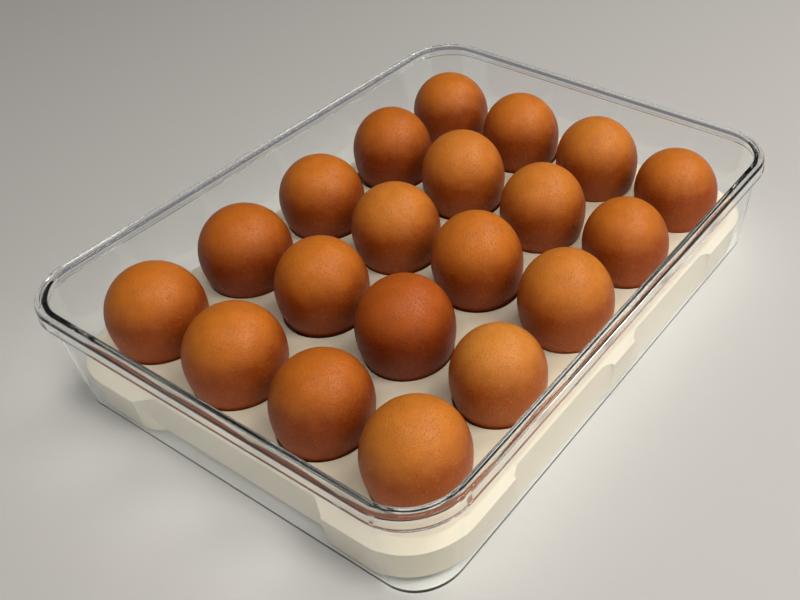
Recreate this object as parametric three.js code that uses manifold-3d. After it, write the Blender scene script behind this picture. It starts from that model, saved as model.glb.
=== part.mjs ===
// Egg storage container: a clear bin, the moulded tray inside it and twenty brown eggs.
// Millimetres, +Z up, origin under the middle of the bin's base.
// X runs across the four columns of eggs and Y along the five rows.

import * as THREE from 'three';
import { mergeVertices } from 'three/addons/utils/BufferGeometryUtils.js';
import Module from 'manifold-3d';

const wasm = await Module();
wasm.setup();

// Bin: outside of the rim, and how far the walls lean in from it.
const rimHalf = { x: 115.5, y: 146 };
const rimRadius = 28;
const rimTop = 57.5;
const lipBottom = 50.4;
const lipThickness = 1.5;
const lipPocketTop = 55.2;
const wallInsetAtLip = 3.5;
const wallInsetAtBase = { x: 9.5, y: 6.6 };
const wallThickness = 2.3;
const floorThickness = 2.5;
const baseEdgeRadius = 3;
const rimEdgeRadius = 2;
const innerEdgeRadius = 1.2;
const cornerSegments = 6;

// Tray: a deck with cups, an upright skirt round it, and feet that stand out to the bin's walls.
const fit = 0.6;
const footRadius = 28;
const trayThickness = 1.4;
const deckTop = 23.7;
const deckEdgeRadius = 1.6;
const skirtInset = { x: 13, y: 13.5 };
const skirtRadius = 24;
const footBottom = 2.8;
const footEdge = 1.7;
const footShoulder = 21.3;
const shoulderTop = 23.5;
const shoulderReach = 1;
const archTop = { x: 3.4, y: 4.8 };
const endFootGap = { half: 55, taper: 7.5 };
const sideFootGap = { from: 9.5, to: 83.5, taper: 4.5 };

// Cups and eggs.
const columns = 4;
const rows = 5;
const pitch = { x: 50.5, y: 52.5 };
const cupRadius = 20.9;
const cupDepth = 19.4;
const cupWall = 1.2;
const cupRings = 3;
const roundSegments = 16;
const eggRings = 7;
const eggWaist = 37.3;
const eggTaper = 1.42;

// How far a cutting solid runs past the surface it opens.
const cutPast = 2;
const cutUnder = 0.3;

// Each egg as [radius, crown above its widest level, lift, lean along X, lean along Y],
// row by row from the front, each row from the left. Lengths in mm, leans in degrees.
const eggs = [
  [[21.7, 24.0, 0, 0, 0], [21.8, 24.1, 0, 1, 1], [21.4, 23.7, -0.8, 2, 2], [22.0, 24.1, 0, 0, 1]],
  [[22.0, 23.8, 0, 0, -1], [21.5, 24.4, 0.6, 0, 0], [22.2, 24.4, 0.6, 0, 0], [21.0, 22.8, -1.6, 2, 0]],
  [[21.5, 23.2, 0, -2, -3], [21.9, 24.0, 0.4, -2, -2], [22.0, 25.1, 1.5, -2, 0], [22.4, 24.7, 0.9, -1, 0]],
  [[21.5, 24.6, 0, 2, 3], [22.0, 25.3, 1.5, 0, 1], [22.1, 24.2, 0, 3, 2], [21.5, 23.3, -0.8, 0, -1]],
  [[21.6, 23.0, -1, 0, -1], [21.5, 23.9, 0, 1, 0], [22.4, 24.3, 0.4, 2, 1], [22.0, 22.9, -1, -2, -2]],
];

const clearPlastic = new THREE.MeshStandardMaterial({
  color: 0xe9eeec, roughness: 0.06, metalness: 0, transparent: true, opacity: 0.35,
});
const creamPlastic = new THREE.MeshStandardMaterial({ color: 0xe8e0d2, roughness: 0.55, metalness: 0 });

function eggShell(index) {
  const browns = [0xb06a3a, 0xa85f33, 0xb87442, 0x9c5430];
  return new THREE.MeshStandardMaterial({ color: browns[index % 4], roughness: 0.5, metalness: 0 });
}

// A level is one rounded rectangle of a swept solid.
function level(z, insetX, insetY = insetX) {
  return {
    z,
    halfX: rimHalf.x - insetX,
    halfY: rimHalf.y - insetY,
    radius: rimRadius - (insetX + insetY) / 2,
  };
}

// A level on the bin's leaning wall, moved in from its outside.
function wallLevel(z, inX, inY = inX) {
  const rise = z / lipBottom;
  return level(
    z,
    THREE.MathUtils.lerp(wallInsetAtBase.x, wallInsetAtLip, rise) + inX,
    THREE.MathUtils.lerp(wallInsetAtBase.y, wallInsetAtLip, rise) + inY,
  );
}

// A level on the leaning faces of the tray's feet, moved in from their outside.
function footLevel(z, offset) {
  return { ...wallLevel(z, wallThickness + fit + offset), radius: footRadius - offset };
}

function skirtLevel(z, offset) {
  return { ...level(z, skirtInset.x + offset, skirtInset.y + offset), radius: skirtRadius - offset };
}

function outline({ halfX, halfY, radius }) {
  const points = [];
  const corners = [[1, 1], [-1, 1], [-1, -1], [1, -1]];
  corners.forEach(([sideX, sideY], corner) => {
    for (let k = 0; k <= cornerSegments; k += 1) {
      const angle = (corner + k / cornerSegments) * Math.PI / 2;
      points.push([
        sideX * (halfX - radius) + radius * Math.cos(angle),
        sideY * (halfY - radius) + radius * Math.sin(angle),
      ]);
    }
  });
  return points;
}

// Closed solid through a list of levels, from the first level's middle to the last level's middle.
function sweep(levels) {
  const rings = levels.map(outline);
  const count = rings[0].length;
  const vertices = [];
  rings.forEach((ring, i) => ring.forEach(([x, y]) => vertices.push(x, y, levels[i].z)));
  vertices.push(0, 0, levels[0].z, 0, 0, levels[levels.length - 1].z);
  const firstMiddle = rings.length * count;
  const lastRing = (rings.length - 1) * count;
  const faces = [];
  for (let k = 0; k < count; k += 1) {
    const next = (k + 1) % count;
    faces.push(firstMiddle, next, k);
    faces.push(firstMiddle + 1, lastRing + k, lastRing + next);
    for (let i = 0; i < rings.length - 1; i += 1) {
      const low = i * count;
      const high = low + count;
      faces.push(low + k, low + next, high + next, low + k, high + next, high + k);
    }
  }
  const geometry = new THREE.BufferGeometry();
  geometry.setAttribute('position', new THREE.Float32BufferAttribute(vertices, 3));
  geometry.setIndex(faces);
  return geometry;
}

// Quarter-round edge as [share inward, share upward] steps from the side to the flat.
function quarterRound(steps) {
  return Array.from({ length: steps + 1 }, (_, k) => {
    const angle = (k / steps) * Math.PI / 2;
    return [1 - Math.cos(angle), Math.sin(angle)];
  });
}

function toSolid(geometry) {
  const bare = geometry.clone();
  bare.deleteAttribute('normal');
  bare.deleteAttribute('uv');
  const merged = mergeVertices(bare, 1e-4);
  return new wasm.Manifold(new wasm.Mesh({
    numProp: 3,
    vertProperties: new Float32Array(merged.attributes.position.array),
    triVerts: new Uint32Array(merged.index.array),
  }));
}

function toGeometry(solid) {
  const mesh = solid.getMesh();
  const geometry = new THREE.BufferGeometry();
  geometry.setAttribute('position', new THREE.Float32BufferAttribute(mesh.vertProperties, 3));
  geometry.setIndex(new THREE.Uint32BufferAttribute(mesh.triVerts, 1));
  geometry.computeVertexNormals();
  return geometry;
}

// Bin: floor, leaning walls and a flat-topped rim whose outer lip hangs clear of the wall.
function binGeometry() {
  const base = quarterRound(3).reverse().map(
    ([inward, up]) => wallLevel(baseEdgeRadius * (1 - up), baseEdgeRadius * inward),
  );
  const outerEdge = quarterRound(3).map(
    ([inward, up]) => level(rimTop - rimEdgeRadius * (1 - up), rimEdgeRadius * inward),
  );
  const innerWall = wallInsetAtLip + wallThickness;
  const innerEdge = quarterRound(2).reverse().map(
    ([inward, up]) => level(rimTop - innerEdgeRadius * (1 - up), innerWall - innerEdgeRadius * inward),
  );
  const floorEdge = quarterRound(2).map(([inward, up]) => wallLevel(
    floorThickness + (baseEdgeRadius - wallThickness) * (1 - up),
    wallThickness + (baseEdgeRadius - wallThickness) * inward,
  ));
  return sweep([
    ...base,
    wallLevel(lipBottom, 0),
    level(lipPocketTop, wallInsetAtLip),
    level(lipPocketTop, lipThickness),
    level(lipBottom, lipThickness),
    level(lipBottom, 0),
    ...outerEdge,
    ...innerEdge,
    wallLevel(lipBottom, wallThickness),
    ...floorEdge,
  ]);
}

// Outline in plan of the space between two feet: along the side, then outward from the skirt.
function footGap(from, to, taper, face, skirt, offset) {
  const inside = skirt - offset - cutUnder;
  const shape = new THREE.Shape();
  shape.moveTo(from + taper - offset, inside);
  shape.lineTo(to - taper + offset, inside);
  shape.lineTo(to + offset, face - offset);
  shape.lineTo(to + offset, face + cutPast);
  shape.lineTo(from - offset, face + cutPast);
  shape.lineTo(from - offset, face - offset);
  shape.closePath();
  return toSolid(new THREE.ExtrudeGeometry(shape, { depth: deckTop + cutPast, bevelEnabled: false }));
}

// Band of feet around the skirt, with a sloping shoulder and sloping ends.
function footBand(bottom, offset) {
  let band = toSolid(sweep([
    footLevel(bottom, offset + footEdge),
    footLevel(bottom + footEdge, offset),
    footLevel(footShoulder - offset, offset),
    skirtLevel(shoulderTop - offset, offset + shoulderReach),
  ]));
  const face = footLevel(footShoulder / 2, 0);
  const skirt = skirtLevel(footShoulder / 2, 0);
  const { from, to, taper } = sideFootGap;
  const ends = endFootGap;
  for (const turn of [0, 180]) {
    band = band.subtract(
      footGap(-ends.half, ends.half, ends.taper, face.halfY, skirt.halfY, offset).rotate([0, 0, turn]),
    );
  }
  for (const turn of [-90, 90]) {
    for (const [low, high] of [[from, to], [-to, -from]]) {
      band = band.subtract(
        footGap(low, high, taper, face.halfX, skirt.halfX, offset).rotate([0, 0, turn]),
      );
    }
  }
  return band;
}

function block(sizeX, sizeY, height, x, y) {
  return toSolid(new THREE.BoxGeometry(sizeX, sizeY, height).translate(x, y, height / 2));
}

// The skirt's lower edge is raised between the feet.
function archCuts() {
  const across = 2 * (endFootGap.half - endFootGap.taper);
  const along = sideFootGap.to - sideFootGap.from - 2 * sideFootGap.taper;
  const middle = (sideFootGap.from + sideFootGap.to) / 2;
  return block(across, 3 * rimHalf.y, archTop.y, 0, 0)
    .add(block(3 * rimHalf.x, along, archTop.x, 0, middle))
    .add(block(3 * rimHalf.x, along, archTop.x, 0, -middle));
}

// Half of an ellipsoid, flat side up, whose flat side sits at the deck's top.
function cupForm(radius, depth, lid) {
  const profile = [new THREE.Vector2(0, lid), new THREE.Vector2(radius, lid)];
  for (let k = 0; k <= cupRings; k += 1) {
    const angle = (k / cupRings) * Math.PI / 2;
    profile.push(new THREE.Vector2(k < cupRings ? radius * Math.cos(angle) : 0, -depth * Math.sin(angle)));
  }
  const steps = lid > 0 ? profile : profile.slice(0, 1).concat(profile.slice(2));
  return new THREE.LatheGeometry(steps.reverse(), roundSegments).rotateX(Math.PI / 2);
}

function cupCentres() {
  const centres = [];
  for (let row = 0; row < rows; row += 1) {
    for (let column = 0; column < columns; column += 1) {
      centres.push({
        row,
        column,
        x: (column - (columns - 1) / 2) * pitch.x,
        y: (row - (rows - 1) / 2) * pitch.y,
      });
    }
  }
  return centres;
}

function traySolid() {
  const deckEdge = quarterRound(3).map(
    ([inward, up]) => skirtLevel(deckTop - deckEdgeRadius * (1 - up), deckEdgeRadius * inward),
  );
  let tray = toSolid(sweep([skirtLevel(footBottom, 0), ...deckEdge])).add(footBand(footBottom, 0));
  const underDeck = deckTop - trayThickness;
  const hollow = toSolid(sweep([skirtLevel(0, trayThickness), skirtLevel(underDeck, trayThickness)]))
    .add(footBand(0, trayThickness))
    .intersect(block(2 * rimHalf.x, 2 * rimHalf.y, underDeck, 0, 0));
  tray = tray.subtract(hollow).subtract(archCuts());
  const shell = toSolid(cupForm(cupRadius + cupWall, cupDepth + cupWall, 0));
  const bowl = toSolid(cupForm(cupRadius, cupDepth, cutPast));
  for (const { x, y } of cupCentres()) {
    tray = tray.add(shell.translate([x, y, deckTop])).subtract(bowl.translate([x, y, deckTop]));
  }
  return tray;
}

// An egg with its blunt end up, about the point where it meets the plane of the cup's mouth.
function eggGeometry(radius, crown, waist) {
  const profile = [];
  for (let k = 0; k <= eggRings; k += 1) {
    const angle = (k / eggRings - 0.5) * Math.PI;
    const reach = angle < 0 ? eggTaper * radius : crown;
    const onAxis = k === 0 || k === eggRings;
    profile.push(new THREE.Vector2(onAxis ? 0 : radius * Math.cos(angle), waist + reach * Math.sin(angle)));
  }
  return new THREE.LatheGeometry(profile, roundSegments).rotateX(Math.PI / 2);
}

function eggMesh({ row, column, x, y }) {
  const [radius, crown, lift, leanX, leanY] = eggs[row][column];
  const mesh = new THREE.Mesh(
    eggGeometry(radius, crown, eggWaist + lift - deckTop),
    eggShell(row * columns + column),
  );
  mesh.name = `egg_${row + 1}_${column + 1}`;
  mesh.position.set(x, y, deckTop);
  mesh.rotation.set(THREE.MathUtils.degToRad(-leanY), THREE.MathUtils.degToRad(leanX), 0);
  return mesh;
}

const group = new THREE.Group();

const bin = new THREE.Mesh(binGeometry(), clearPlastic);
bin.name = 'bin';
group.add(bin);

const tray = new THREE.Mesh(toGeometry(traySolid()), creamPlastic);
tray.name = 'tray';
group.add(tray);

cupCentres().forEach((cup) => group.add(eggMesh(cup)));

export default group;
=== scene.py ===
import math
import bmesh
import bpy
from mathutils import Matrix, Vector


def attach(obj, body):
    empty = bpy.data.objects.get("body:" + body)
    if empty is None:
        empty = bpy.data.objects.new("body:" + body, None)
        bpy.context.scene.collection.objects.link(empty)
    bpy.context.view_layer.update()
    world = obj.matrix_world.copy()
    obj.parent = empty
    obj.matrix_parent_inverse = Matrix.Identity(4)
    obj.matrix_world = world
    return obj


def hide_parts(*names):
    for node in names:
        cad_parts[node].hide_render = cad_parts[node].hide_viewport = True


# Clear bin with a cream egg tray and twenty brown eggs. Sizes below are in millimetres.

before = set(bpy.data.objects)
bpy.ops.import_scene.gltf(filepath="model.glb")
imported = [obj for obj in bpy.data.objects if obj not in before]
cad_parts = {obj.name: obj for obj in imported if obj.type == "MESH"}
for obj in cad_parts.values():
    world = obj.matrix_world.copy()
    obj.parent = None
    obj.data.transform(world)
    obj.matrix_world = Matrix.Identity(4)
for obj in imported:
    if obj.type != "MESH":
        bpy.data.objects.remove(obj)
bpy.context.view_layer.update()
mm = 0.001
print("frame loaded:", len(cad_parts), "nodes")


# Modelling steps shared by the pieces

def startPiece(name):
    piece = bpy.context.object
    piece.name = piece.data.name = name
    bpy.ops.object.mode_set(mode="EDIT")
    return piece


# A flat rounded rectangle to pull the rest of a piece out of, still selected in edit mode
def addPlate(name, half, radius, steps, level):
    height, inX, inY = level
    bpy.ops.object.select_all(action="DESELECT")
    bpy.ops.mesh.primitive_plane_add(size=2)
    piece = startPiece(name)
    bpy.ops.transform.resize(value=((half[0] - inX) * mm, (half[1] - inY) * mm, 1), center_override=(0, 0, 0))
    corner = (radius - (inX + inY) / 2) * mm
    bpy.ops.mesh.bevel(offset=corner, offset_type="ABSOLUTE", segments=steps, affect="VERTICES")
    bpy.ops.transform.translate(value=(0, 0, height * mm))
    return piece


def addDisc(name, radius, steps, height):
    bpy.ops.object.select_all(action="DESELECT")
    bpy.ops.mesh.primitive_circle_add(vertices=steps, radius=radius * mm, fill_type="NGON")
    piece = startPiece(name)
    bpy.ops.transform.translate(value=(0, 0, height * mm))
    return piece


# Carries the selected flat end through levels of (height, inset along X, inset along Y);
# a leaning wall keeps the radius of its corners
def carry(half, levels, leaning=False):
    for (fromZ, fromX, fromY), (toZ, toX, toY) in zip(levels, levels[1:]):
        even = (toX - fromX + toY - fromY) / 2
        if even > 0.001 and not leaning:
            bpy.ops.mesh.inset(thickness=even * mm, depth=0)
        else:
            even = 0
            bpy.ops.mesh.extrude_region_move()
        bpy.ops.transform.translate(value=(0, 0, (toZ - fromZ) * mm))
        stretch = ((half[0] - toX) / (half[0] - fromX - even), (half[1] - toY) / (half[1] - fromY - even), 1)
        bpy.ops.transform.resize(value=stretch, center_override=(0, 0, 0))


# Selects faces by a test on their middle, in millimetres, and their normal
def pickFaces(piece, test):
    bpy.ops.mesh.select_mode(type="FACE")
    bpy.ops.mesh.select_all(action="DESELECT")
    shape = bmesh.from_edit_mesh(piece.data)
    for face in shape.faces:
        face.select = test(face.calc_center_median() / mm, face.normal)
    bmesh.update_edit_mesh(piece.data)


# Selects sharp edges by a test on their two ends, in millimetres
def pickEdges(piece, test):
    bpy.ops.mesh.select_mode(type="EDGE")
    bpy.ops.mesh.select_all(action="DESELECT")
    shape = bmesh.from_edit_mesh(piece.data)
    for edge in shape.edges:
        sharp = edge.calc_face_angle(0) > math.radians(16)
        edge.select = sharp and test(edge.verts[0].co / mm, edge.verts[1].co / mm)
    bmesh.update_edit_mesh(piece.data)


def pickPoints(piece, test):
    bpy.ops.mesh.select_mode(type="VERT")
    bpy.ops.mesh.select_all(action="DESELECT")
    shape = bmesh.from_edit_mesh(piece.data)
    for point in shape.verts:
        point.select = test(point.co / mm)
    shape.select_flush(True)
    bmesh.update_edit_mesh(piece.data)


# Quarter round edge as shares (inward, upward) from the side to the flat
def quarterRound(steps):
    turns = [k / steps * math.pi / 2 for k in range(steps + 1)]
    return [(1 - math.cos(turn), math.sin(turn)) for turn in turns]


# A lone flat face that starts with an inset leaves its first end open
def closeEnd():
    bpy.ops.mesh.select_mode(type="EDGE")
    bpy.ops.mesh.select_all(action="DESELECT")
    bpy.ops.mesh.select_non_manifold()
    bpy.ops.mesh.edge_face_add()


def endEdit(recalculate=False):
    if recalculate:
        bpy.ops.mesh.select_all(action="SELECT")
        bpy.ops.mesh.normals_make_consistent(inside=False)
    bpy.ops.object.mode_set(mode="OBJECT")


def choose(piece):
    bpy.ops.object.select_all(action="DESELECT")
    piece.select_set(True)
    bpy.context.view_layer.objects.active = piece


def combine(piece, tool, operation):
    choose(piece)
    modifier = piece.modifiers.new("combine", "BOOLEAN")
    modifier.operation = operation
    modifier.solver = "EXACT"
    modifier.object = tool
    bpy.ops.object.modifier_apply(modifier=modifier.name)
    bpy.data.objects.remove(tool)


def copyPiece(piece, name, placing):
    twin = piece.copy()
    twin.data = piece.data.copy()
    twin.name = twin.data.name = name
    bpy.context.scene.collection.objects.link(twin)
    twin.data.transform(placing)
    return twin


def joinAll(pieces):
    bpy.ops.object.select_all(action="DESELECT")
    for piece in pieces:
        piece.select_set(True)
    bpy.context.view_layer.objects.active = pieces[0]
    bpy.ops.object.join()
    return pieces[0]


def smooth(piece, angle):
    choose(piece)
    bpy.ops.object.shade_smooth_by_angle(angle=math.radians(angle))
    modifier = piece.modifiers.new("evenShading", "WEIGHTED_NORMAL")
    modifier.keep_sharp = True
    modifier.weight = 100
    bpy.ops.object.modifier_apply(modifier=modifier.name)


def finishPiece(piece, material, slot, *nodes):
    piece.data.materials.clear()
    piece.data.materials.append(material)
    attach(piece, "root")
    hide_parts(*nodes)


# Materials

# One output socket, wrapped so that sums and products of signals add Math nodes
class Signal:
    def __init__(self, finish, socket):
        self.finish = finish
        self.socket = socket

    def math(self, operation, first, second):
        return self.finish.add("ShaderNodeMath", {"operation": operation}, {0: first, 1: second})

    def __add__(self, other):
        return self.math("ADD", self, other)

    __radd__ = __add__

    def __sub__(self, other):
        return self.math("SUBTRACT", self, other)

    def __rsub__(self, other):
        return self.math("SUBTRACT", other, self)

    def __mul__(self, other):
        return self.math("MULTIPLY", self, other)

    # 0 below low and 1 above high, with a soft step between
    def between(self, low, high):
        settings = {"interpolation_type": "SMOOTHSTEP"}
        return self.finish.add("ShaderNodeMapRange", settings, {"Value": self, "From Min": low, "From Max": high})


# The nodes of a new material, or of a new world
class Finish:
    def __init__(self, name, family=bpy.data.materials):
        self.owner = family.new(name)
        self.owner.use_nodes = True
        self.tree = self.owner.node_tree
        self.tree.nodes.clear()

    # A node with its settings first, then the values or links of its sockets
    def add(self, kind, settings=None, values=None, output=0):
        node = self.tree.nodes.new(kind)
        for key, value in (settings or {}).items():
            setattr(node, key, value)
        for key, value in (values or {}).items():
            if isinstance(value, Signal):
                self.tree.links.new(value.socket, node.inputs[key])
            else:
                node.inputs[key].default_value = value
        return Signal(self, node.outputs[output])

    def place(self):
        spot = self.add("ShaderNodeTexCoord", output="Object")
        return self.add("ShaderNodeMapping", {}, {"Vector": spot})

    def noise(self, spot, scale, detail, roughness=0.5):
        values = {"Vector": spot, "Scale": scale, "Detail": detail, "Roughness": roughness}
        return self.add("ShaderNodeTexNoise", {}, values)

    # Two colours mixed, through the colour sockets of the node
    def blend(self, share, first, second):
        return self.add("ShaderNodeMix", {"data_type": "RGBA"}, {0: share, 6: first, 7: second}, 2)

    def bump(self, height, strength, distance):
        return self.add("ShaderNodeBump", {}, {"Height": height, "Strength": strength, "Distance": distance})

    def output(self, shader, kind="ShaderNodeOutputMaterial"):
        node = self.tree.nodes.new(kind)
        self.tree.links.new(shader.socket, node.inputs["Surface"])
        return self.owner


def rgb(colour):
    return (*colour, 1)


# Clear plastic

clearLook = {
    "tint": (0.97, 0.978, 0.975),
    "roughness": 0.03,
    "ior": 1.44,
    "waveScale": 28,
    "waviness": 0.06,
    "hazeScale": 160,
}


def makeClearPlastic():
    look = clearLook
    finish = Finish("clearPlastic")
    spot = finish.place()
    wave = finish.noise(spot, look["waveScale"], 1)
    haze = finish.noise(spot, look["hazeScale"], 3)
    body = finish.add("ShaderNodeBsdfPrincipled", {}, {
        "Base Color": rgb(look["tint"]),
        "Roughness": look["roughness"] + haze * 0.02,
        "IOR": look["ior"],
        "Transmission Weight": 1.0,
        "Normal": finish.bump(wave, look["waviness"], 0.001),
    })
    through = finish.add("ShaderNodeBsdfTransparent", {}, {"Color": (0.93, 0.94, 0.935, 1)})
    shadowRay = finish.add("ShaderNodeLightPath", output="Is Shadow Ray")
    return finish.output(finish.add("ShaderNodeMixShader", {}, {0: shadowRay, 1: body, 2: through}))


# Cream plastic

creamLook = {
    "cream": (0.765, 0.695, 0.545),
    "shade": (0.705, 0.635, 0.48),
    "roughness": 0.5,
    "cloudScale": 22,
    "grainScale": 1400,
    "fineScale": 420,
}


def makeCreamPlastic():
    look = creamLook
    finish = Finish("creamPlastic")
    spot = finish.place()
    cloud = finish.noise(spot, look["cloudScale"], 3)
    grain = finish.noise(spot, look["grainScale"], 2)
    fine = finish.noise(spot, look["fineScale"], 3)
    return finish.output(finish.add("ShaderNodeBsdfPrincipled", {}, {
        "Base Color": finish.blend(cloud.between(0.35, 0.75), rgb(look["cream"]), rgb(look["shade"])),
        "Roughness": look["roughness"] - 0.05 + fine * 0.1,
        "IOR": 1.5,
        "Normal": finish.bump(grain * 0.7 + fine * 0.3, 0.25, 0.00015),
    }))


# Eggshell: each tone as a paler colour painted on the crown and a deeper colour lower down; this paler top and
# darker lower part is painted light and shade from above, laid over each egg's own tone

shellTones = {
    "brown": ((0.70, 0.20, 0.018), (0.29, 0.050, 0.0035)),
    "tan": ((0.74, 0.235, 0.028), (0.32, 0.062, 0.005)),
    "light": ((0.80, 0.285, 0.042), (0.37, 0.082, 0.008)),
    "chestnut": ((0.63, 0.165, 0.014), (0.24, 0.038, 0.0025)),
    "red": ((0.55, 0.12, 0.011), (0.21, 0.030, 0.0022)),
}

shellLook = {
    "paintedShadeBelow": 0.041,
    "paintedLightAbove": 0.057,
    "mottleScale": 150,
    "patchScale": 30,
    "speckScale": 1000,
    "poreScale": 1300,
    "grainScale": 1100,
    "roughness": 0.38,
    "sheen": 0.28,
}


def makeEggshell(tone):
    pale, deep = (rgb(colour) for colour in shellTones[tone])
    look = shellLook
    finish = Finish("eggshell_" + tone)
    spot = finish.place()
    height = finish.add("ShaderNodeSeparateXYZ", {}, {"Vector": spot}, "Z")
    mottle = finish.noise(spot, look["mottleScale"], 4, 0.6)
    patch = finish.noise(spot, look["patchScale"], 2)
    speck = finish.noise(spot, look["speckScale"], 2, 0.6)
    pore = finish.add("ShaderNodeTexVoronoi", {}, {"Vector": spot, "Scale": look["poreScale"]}, "Distance")
    grain = finish.noise(spot, look["grainScale"], 2)
    # Painted light and shade: with height the colour goes from the deeper lower colour up to the paler crown colour
    crown = height.between(look["paintedShadeBelow"], look["paintedLightAbove"])
    share = crown * 0.9 + mottle.between(0.3, 0.7) * 0.2 - 0.1 + patch * 0.12 - 0.06
    colour = finish.blend(share, deep, pale)
    colour = finish.blend(speck.between(0.57, 0.7) * 0.32, colour, pale)
    colour = finish.blend((1 - pore.between(0.05, 0.3)) * 0.5, colour, deep)
    rise = pore.between(0, 0.45) * 0.5 + grain * 0.5
    return finish.output(finish.add("ShaderNodeBsdfPrincipled", {}, {
        "Base Color": colour,
        "Roughness": look["roughness"] + grain * 0.1,
        "Specular IOR Level": look["sheen"],
        "Normal": finish.bump(rise, 1, 0.0003),
    }))


# Bin: outside of the rim, and how far the walls lean in from it

binShape = {
    "half": (115.5, 146),
    "cornerRadius": 28,
    "cornerSteps": 14,
    "rimTop": 57.5,
    "lipBottom": 50.4,
    "lipThickness": 1.5,
    "pocketTop": 55.2,
    "insetAtLip": 3.5,
    "insetAtBase": (9.5, 6.6),
    "wall": 2.3,
    "floor": 2.5,
    "baseRound": 3,
    "floorRound": 0.7,
    "rimRound": 2,
    "innerRound": 1.2,
    "lipRound": 0.4,
    "lipBead": (1.1, 0.3),  # its height, and how far it stands out from the lip
    "groove": (2.7, 1.1, 0.35),  # its place, width and depth on the rim's top
    "roundSteps": 5,
}


# A level on the bin's leaning wall, moved in from its outside
def wallLevel(height, inX=0, inY=None):
    share = height / binShape["lipBottom"]
    lip, (baseX, baseY) = binShape["insetAtLip"], binShape["insetAtBase"]
    inY = inX if inY is None else inY
    return height, baseX + (lip - baseX) * share + inX, baseY + (lip - baseY) * share + inY


def makeBin(material):
    shape = binShape
    half, lip, wall = shape["half"], shape["insetAtLip"], shape["wall"]
    bottom, top, thin = shape["lipBottom"], shape["rimTop"], shape["lipThickness"]
    around = quarterRound(shape["roundSteps"])
    level = lambda height, inset: (height, inset, inset)
    piece = addPlate("clearBin", half, shape["cornerRadius"], shape["cornerSteps"], level(bottom, 0))

    # up the lip with its bead, over the grooved rim and down the inside
    outer, inner, low = shape["rimRound"], shape["innerRound"], shape["floorRound"]
    bead, step = shape["lipBead"]
    levels = [level(bottom, 0), level(bottom + bead, 0), level(bottom + bead + step, step)]
    levels += [level(top - outer * (1 - up), step + (outer - step) * inward) for inward, up in around]
    place, width, deep = shape["groove"]
    levels += [level(top, place), level(top - deep, place + width / 3)]
    levels += [level(top - deep, place + width * 2 / 3), level(top, place + width)]
    levels += [level(top - inner * (1 - up), lip + wall - inner * inward) for inward, up in reversed(around)]
    levels += [wallLevel(bottom, wall)]
    levels += [wallLevel(shape["floor"] + low * (1 - up), wall + low * inward) for inward, up in around]
    carry(half, levels)

    # under the lip, down the outside and round to the base
    pickFaces(piece, lambda middle, normal: normal.z < -0.9)
    edge = shape["baseRound"]
    levels = [level(bottom, 0), level(bottom, thin), level(shape["pocketTop"], thin), level(shape["pocketTop"], lip)]
    levels += [wallLevel(bottom)]
    levels += [wallLevel(edge * (1 - up), edge * inward) for inward, up in around]
    carry(half, levels)

    # the lip's lower edges are slightly rounded
    def onLip(first, second):
        low = max(abs(first.z - bottom), abs(second.z - bottom)) < 0.01
        return low and max(abs(first.x) - half[0], abs(first.y) - half[1]) > -thin - 0.01

    pickEdges(piece, onLip)
    bpy.ops.mesh.bevel(offset=shape["lipRound"] * mm, segments=3, affect="EDGES")
    endEdit()
    smooth(piece, 35)
    finishPiece(piece, material, "clear_plastic", "bin")
    print("bin:", len(piece.data.polygons), "faces")
    return piece


# Tray: a deck with cups, an upright skirt round it, and feet that stand out to the bin's walls

trayShape = {
    "fit": 0.6,
    "footRadius": 28,
    "thickness": 1.4,
    "deckTop": 23.7,
    "deckRound": 1.6,
    "skirtInset": (13, 13.5),
    "skirtRadius": 24,
    "footBottom": 2.8,
    "footEdge": 1.7,
    "footShoulder": 21.3,
    "shoulderTop": 23.5,
    "shoulderReach": 1,
    "footRound": 0.8,
    "archTop": (3.4, 4.8),
    "endGap": {"from": -55, "to": 55, "taper": 7.5},
    "sideGap": {"from": 9.5, "to": 83.5, "taper": 4.5},
    "columns": 4,
    "rows": 5,
    "pitch": (50.5, 52.5),
    "cupRadius": 20.2,
    "cupDepth": 19.4,
    "cupWall": 1.2,
    "cupMouth": 0.4,
    "cupSteps": 64,
    "cupRings": 9,
}


def cupSpots():
    pitchX, pitchY = trayShape["pitch"]
    rows, columns = trayShape["rows"], trayShape["columns"]
    for row in range(rows):
        for column in range(columns):
            yield row, column, (column - (columns - 1) / 2) * pitchX, (row - (rows - 1) / 2) * pitchY


# A level on the leaning faces of the feet, moved in from their outside
def footLevel(height, offset):
    return wallLevel(height, binShape["wall"] + trayShape["fit"] + offset)


def skirtLevel(height, offset):
    inX, inY = trayShape["skirtInset"]
    return height, inX + offset, inY + offset


# The skirt with its rounded top edge, or the hollow inside it, set in by an offset
def makeSkirt(name, bottom, top, offset, edge=0):
    half = binShape["half"]
    start = skirtLevel(top - edge, offset)
    radius = trayShape["skirtRadius"] + sum(trayShape["skirtInset"]) / 2
    piece = addPlate(name, half, radius, binShape["cornerSteps"], start)
    carry(half, [start, skirtLevel(bottom, offset)])
    if edge:
        bpy.ops.mesh.select_all(action="SELECT")
        bpy.ops.mesh.normals_make_consistent(inside=False)
        pickFaces(piece, lambda middle, normal: normal.z > 0.9)
        carry(half, [skirtLevel(top - edge * (1 - up), offset + edge * inward) for inward, up in quarterRound(5)])
    endEdit(recalculate=True)
    return piece


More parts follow.
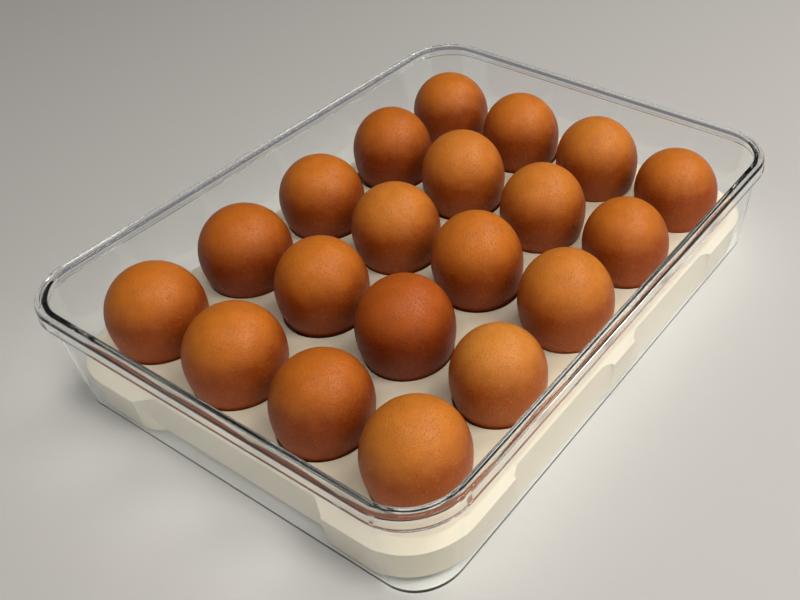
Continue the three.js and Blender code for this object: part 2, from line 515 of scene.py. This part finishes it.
# A wedge-ended block that clears the space between two feet on the +X side, looking along it
def makeGapBlock(name, gapFrom, gapTo, taper, face, skirt, offset, tall):
    bpy.ops.object.select_all(action="DESELECT")
    bpy.ops.mesh.primitive_cube_add(size=1)
    piece = startPiece(name)
    underSkirt, pastFace = 3, 8  # how far the cut reaches inward and outward
    inner, outer = skirt - offset - underSkirt, face - offset
    width = gapTo - gapFrom + 2 * offset
    narrow = 2 * taper * (outer - inner) / (face - skirt)  # the taper is meant at the skirt
    bpy.ops.transform.resize(value=((outer - inner) * mm, width * mm, tall * mm), center_override=(0, 0, 0))
    bpy.ops.transform.translate(value=((inner + outer) / 2 * mm, (gapFrom + gapTo) / 2 * mm, (tall / 2 - 1) * mm))
    pickFaces(piece, lambda middle, normal: normal.x > 0.9)
    bpy.ops.mesh.extrude_region_move(TRANSFORM_OT_translate={"value": (pastFace * mm, 0, 0)})
    pickFaces(piece, lambda middle, normal: normal.x < -0.9)
    centre = (inner * mm, (gapFrom + gapTo) / 2 * mm, 0)
    bpy.ops.transform.resize(value=(1, (width - narrow) / width, 1), center_override=centre)
    endEdit()
    return piece


# The band of feet, or its hollow, cut into six feet
def makeFeet(name, bottom, offset):
    shape = trayShape
    half = binShape["half"]
    face = footLevel(shape["footShoulder"] - offset, offset)
    edge = footLevel(bottom + shape["footEdge"], offset)
    top = skirtLevel(shape["shoulderTop"] - offset, offset + shape["shoulderReach"])
    radius = shape["footRadius"] - offset + (face[1] + face[2]) / 2
    piece = addPlate(name, half, radius, binShape["cornerSteps"], face)
    carry(half, [face, edge], leaning=True)
    carry(half, [edge, footLevel(bottom, offset + shape["footEdge"])])
    endEdit(recalculate=True)
    choose(piece)
    bpy.ops.object.mode_set(mode="EDIT")
    pickFaces(piece, lambda middle, normal: normal.z > 0.9)
    carry(half, [face, top])
    endEdit(recalculate=True)
    middle = footLevel(shape["footShoulder"] / 2, 0)
    faceX, faceY = half[0] - middle[1], half[1] - middle[2]
    skirtX, skirtY = half[0] - shape["skirtInset"][0], half[1] - shape["skirtInset"][1]
    tall = shape["deckTop"] + 4
    for turn in (90, -90):
        ends = shape["endGap"]
        tool = makeGapBlock("endGap", ends["from"], ends["to"], ends["taper"], faceY, skirtY, offset, tall)
        tool.data.transform(Matrix.Rotation(math.radians(turn), 4, "Z"))
        combine(piece, tool, "DIFFERENCE")
    for turn in (0, 180):
        for mirror in (1, -1):
            sides = shape["sideGap"]
            low, high = sorted((sides["from"] * mirror, sides["to"] * mirror))
            tool = makeGapBlock("sideGap", low, high, sides["taper"], faceX, skirtX, offset, tall)
            tool.data.transform(Matrix.Rotation(math.radians(turn), 4, "Z"))
            combine(piece, tool, "DIFFERENCE")
    return piece


def softenEdges(piece, width, angle):
    choose(piece)
    modifier = piece.modifiers.new("soften", "BEVEL")
    modifier.width = width * mm
    modifier.segments = 3
    modifier.limit_method = "ANGLE"
    modifier.angle_limit = math.radians(angle)
    bpy.ops.object.modifier_apply(modifier=modifier.name)


def makeBlock(name, size, middle):
    bpy.ops.object.select_all(action="DESELECT")
    bpy.ops.mesh.primitive_cube_add(size=1)
    piece = startPiece(name)
    bpy.ops.transform.resize(value=[side * mm for side in size], center_override=(0, 0, 0))
    bpy.ops.transform.translate(value=[place * mm for place in middle])
    endEdit()
    return piece


# Cup as a round form that hangs from a height; the bowl that is cut out flares at its mouth
def makeCup(name, radius, depth, mouth, height):
    shape = trayShape
    rings = shape["cupRings"]
    levels = []
    if mouth > 0:
        start = radius + mouth
        levels = [(height + 2, 0, 0), (height + 0.02, 0, 0)]
        for inward, up in reversed(quarterRound(4)[:-1]):
            levels.append((height - mouth * (1 - up), mouth * (1 - inward), mouth * (1 - inward)))
    else:
        start = radius
        levels = [(height, 0, 0)]
    for k in range(1, rings):
        turn = k / rings * math.pi / 2
        inset = start - radius * math.cos(turn)
        levels.append((shape["deckTop"] - depth * math.sin(turn), inset, inset))
    piece = addDisc(name, start, shape["cupSteps"], levels[0][0])
    carry((start, start), levels)
    bpy.ops.mesh.poke()
    if mouth == 0:
        closeEnd()
    pickPoints(piece, lambda place: place.z < levels[-1][0] + 0.001 and place.xy.length < 0.01)
    bpy.ops.transform.translate(value=(0, 0, (shape["deckTop"] - depth - levels[-1][0]) * mm))
    endEdit(recalculate=True)
    return piece


def allCups(cup):
    spots = [(x, y) for row, column, x, y in cupSpots()]
    copies = [copyPiece(cup, cup.name + "Copy", Matrix.Translation((x * mm, y * mm, 0))) for x, y in spots]
    bpy.data.objects.remove(cup)
    return joinAll(copies)


def makeTray(material):
    shape = trayShape
    body = makeSkirt("creamTray", shape["footBottom"], shape["deckTop"], 0, shape["deckRound"])
    feet = makeFeet("feet", shape["footBottom"], 0)
    softenEdges(feet, shape["footRound"], 32)
    combine(body, feet, "UNION")
    print("tray: skirt and feet")
    under = shape["deckTop"] - shape["thickness"]
    combine(body, makeSkirt("hollow", -1, under, shape["thickness"]), "DIFFERENCE")
    room = makeFeet("footRoom", -1, shape["thickness"])
    across, lidTall = 400, 30  # the cutting blocks are wider than the tray
    lid = makeBlock("lid", (across, across, lidTall), (0, 0, under + lidTall / 2))
    combine(room, lid, "DIFFERENCE")
    combine(body, room, "DIFFERENCE")
    ends, sides = shape["endGap"], shape["sideGap"]
    endWidth = ends["to"] - ends["from"] - 2 * ends["taper"]
    sideWidth = sides["to"] - sides["from"] - 2 * sides["taper"]
    middle = (sides["from"] + sides["to"]) / 2
    topX, topY = shape["archTop"]
    combine(body, makeBlock("endArch", (endWidth, across, topY + 1), (0, 0, (topY - 1) / 2)), "DIFFERENCE")
    for place in (middle, -middle):
        arch = makeBlock("sideArch", (across, sideWidth, topX + 1), (0, place, (topX - 1) / 2))
        combine(body, arch, "DIFFERENCE")
    print("tray: hollowed")
    radius, depth, wall = shape["cupRadius"], shape["cupDepth"], shape["cupWall"]
    middle = shape["deckTop"] - shape["thickness"] / 2  # the shells start inside the deck
    shells = allCups(makeCup("cupShell", radius + wall, depth + wall, 0, middle))
    combine(body, shells, "UNION")
    bowls = allCups(makeCup("cupBowl", radius, depth, shape["cupMouth"], shape["deckTop"]))
    combine(body, bowls, "DIFFERENCE")
    smooth(body, 32)
    finishPiece(body, material, "cream_plastic", "tray")
    print("tray:", len(body.data.polygons), "faces")
    return body


# Eggs, row by row from the front, each from the left:
# radius, crown above the widest level, lift, lean along X, lean along Y, tone

eggShape = {"waist": 37.3, "taper": 1.42, "segments": 56, "rings": 36}
eggValues = [
    [(21.7, 24.0, 0, 0, 0, "brown"), (21.8, 24.1, 0, 1, 1, "brown"),
     (21.4, 23.7, -0.8, 2, 2, "chestnut"), (22.0, 24.1, 0, 0, 1, "tan")],
    [(22.0, 23.8, 0, 0, -1, "chestnut"), (21.5, 24.4, 0.6, 0, 0, "brown"),
     (22.2, 24.4, 0.6, 0, 0, "red"), (21.0, 22.8, -1.6, 2, 0, "light")],
    [(21.5, 23.2, 0, -2, -3, "brown"), (21.9, 24.0, 0.4, -2, -2, "tan"),
     (22.0, 25.1, 1.5, -2, 0, "brown"), (22.4, 24.7, 0.9, -1, 0, "tan")],
    [(21.5, 24.6, 0, 2, 3, "chestnut"), (22.0, 25.3, 1.5, 0, 1, "tan"),
     (22.1, 24.2, 0, 3, 2, "tan"), (21.5, 23.3, -0.8, 0, -1, "brown")],
    [(21.6, 23.0, -1, 0, -1, "brown"), (21.5, 23.9, 0, 1, 0, "brown"),
     (22.4, 24.3, 0.4, 2, 1, "tan"), (22.0, 22.9, -1, -2, -2, "brown")],
]


def makeEgg(row, column, x, y, materials):
    radius, crown, lift, leanX, leanY, tone = eggValues[row][column]
    number = "_{}_{}".format(row + 1, column + 1)
    bpy.ops.object.select_all(action="DESELECT")
    segments, rings = eggShape["segments"], eggShape["rings"]
    bpy.ops.mesh.primitive_uv_sphere_add(segments=segments, ring_count=rings, radius=radius * mm)
    piece = startPiece("brownEgg" + number)
    pickPoints(piece, lambda place: place.z > 0.01)
    bpy.ops.transform.resize(value=(1, 1, crown / radius), center_override=(0, 0, 0))
    pickPoints(piece, lambda place: place.z < -0.01)
    bpy.ops.transform.resize(value=(1, 1, eggShape["taper"]), center_override=(0, 0, 0))
    bpy.ops.mesh.select_all(action="SELECT")
    bpy.ops.transform.translate(value=(0, 0, (eggShape["waist"] + lift - trayShape["deckTop"]) * mm))
    bpy.ops.transform.rotate(value=-math.radians(leanX), orient_axis="Y", center_override=(0, 0, 0))
    bpy.ops.transform.rotate(value=math.radians(leanY), orient_axis="X", center_override=(0, 0, 0))
    bpy.ops.transform.translate(value=(x * mm, y * mm, trayShape["deckTop"] * mm))
    endEdit()
    bpy.ops.object.shade_smooth()
    finishPiece(piece, materials[tone], "eggshell", "egg" + number)
    return piece


makeBin(makeClearPlastic())
makeTray(makeCreamPlastic())
shells = {tone: makeEggshell(tone) for tone in shellTones}
for row, column, x, y in cupSpots():
    makeEgg(row, column, x, y, shells)
print("eggs placed")


# Floor, lights and camera

floorLook = {"colour": (0.62, 0.61, 0.59), "roughness": 0.6}


def makeFloor():
    bpy.ops.object.select_all(action="DESELECT")
    bpy.ops.mesh.primitive_plane_add(size=6, location=(0, 0, -0.3 * mm))
    floor = bpy.context.object
    floor.name = "paleFloor"
    finish = Finish("paleFloor")
    floor.data.materials.append(finish.output(finish.add("ShaderNodeBsdfPrincipled", {}, {
        "Base Color": rgb(floorLook["colour"]), "Roughness": floorLook["roughness"]})))


lamps = {
    "key": {"place": (0.800, 0.239, 1.056), "size": 0.5, "power": 7.6, "colour": (1, 0.96, 0.9)},
    "side": {"place": (0.286, 0.785, 1.026), "size": 0.5, "power": 4.6, "colour": (1, 0.96, 0.9)},
    "low": {"place": (1.058, -0.385, 0.68), "size": 0.5, "power": 1.6, "colour": (1, 0.97, 0.93)},
    "above": {"place": (0.222, -0.385, 1.252), "size": 0.5, "power": 3.7, "colour": (1, 0.98, 0.95)},
    "front": {"place": (0, -1.178, 0.579), "size": 1.0, "power": 1.0, "colour": (1, 0.97, 0.88)},
}


def addLamps():
    for name, values in lamps.items():
        bpy.ops.object.light_add(type="AREA", location=values["place"])
        lamp = bpy.context.object
        lamp.name = name + "Lamp"
        lamp.data.size = values["size"]
        lamp.data.energy = values["power"]
        lamp.data.color = values["colour"]
        aim = Vector((0, 0, 0.03)) - Vector(values["place"])
        lamp.rotation_euler = aim.to_track_quat("-Z", "Y").to_euler()


roomLight = {"colour": (0.9, 0.93, 1), "dark": 0.04, "bright": 0.2}


# Surfaces see a dark room, and rays that have passed through clear plastic a brighter one
def addRoom():
    finish = Finish("softRoom", bpy.data.worlds)
    diffuse = finish.add("ShaderNodeLightPath", output="Is Diffuse Ray")
    depth = finish.add("ShaderNodeLightPath", output="Transmission Depth")
    always = 50  # more than the deepest ray, so that a diffuse ray always falls below 0
    strength = finish.add("ShaderNodeMapRange", {}, {
        "Value": depth - diffuse * always, "To Min": roomLight["dark"], "To Max": roomLight["bright"]})
    light = finish.add("ShaderNodeBackground", {}, {"Color": rgb(roomLight["colour"]), "Strength": strength})
    bpy.context.scene.world = finish.output(light, "ShaderNodeOutputWorld")


cameraSetup = {
    "place": (0.26697, -0.28053, 0.3391),
    "turn": (52.11, 0, 32.54),
    "lens": 44.72,
    "shift": (-0.2364, -0.0805),
}


def addCamera():
    turn = [math.radians(angle) for angle in cameraSetup["turn"]]
    bpy.ops.object.camera_add(location=cameraSetup["place"], rotation=turn)
    camera = bpy.context.object
    camera.data.sensor_width = 36
    camera.data.lens = cameraSetup["lens"]
    camera.data.shift_x, camera.data.shift_y = cameraSetup["shift"]
    bpy.context.scene.camera = camera


makeFloor()
addLamps()
addRoom()
addCamera()
bpy.context.scene.view_settings.view_transform = "Standard"
bounces = bpy.context.scene.cycles
bounces.max_bounces, bounces.glossy_bounces, bounces.transmission_bounces = 24, 16, 24
print("stage, lamps and camera ready")
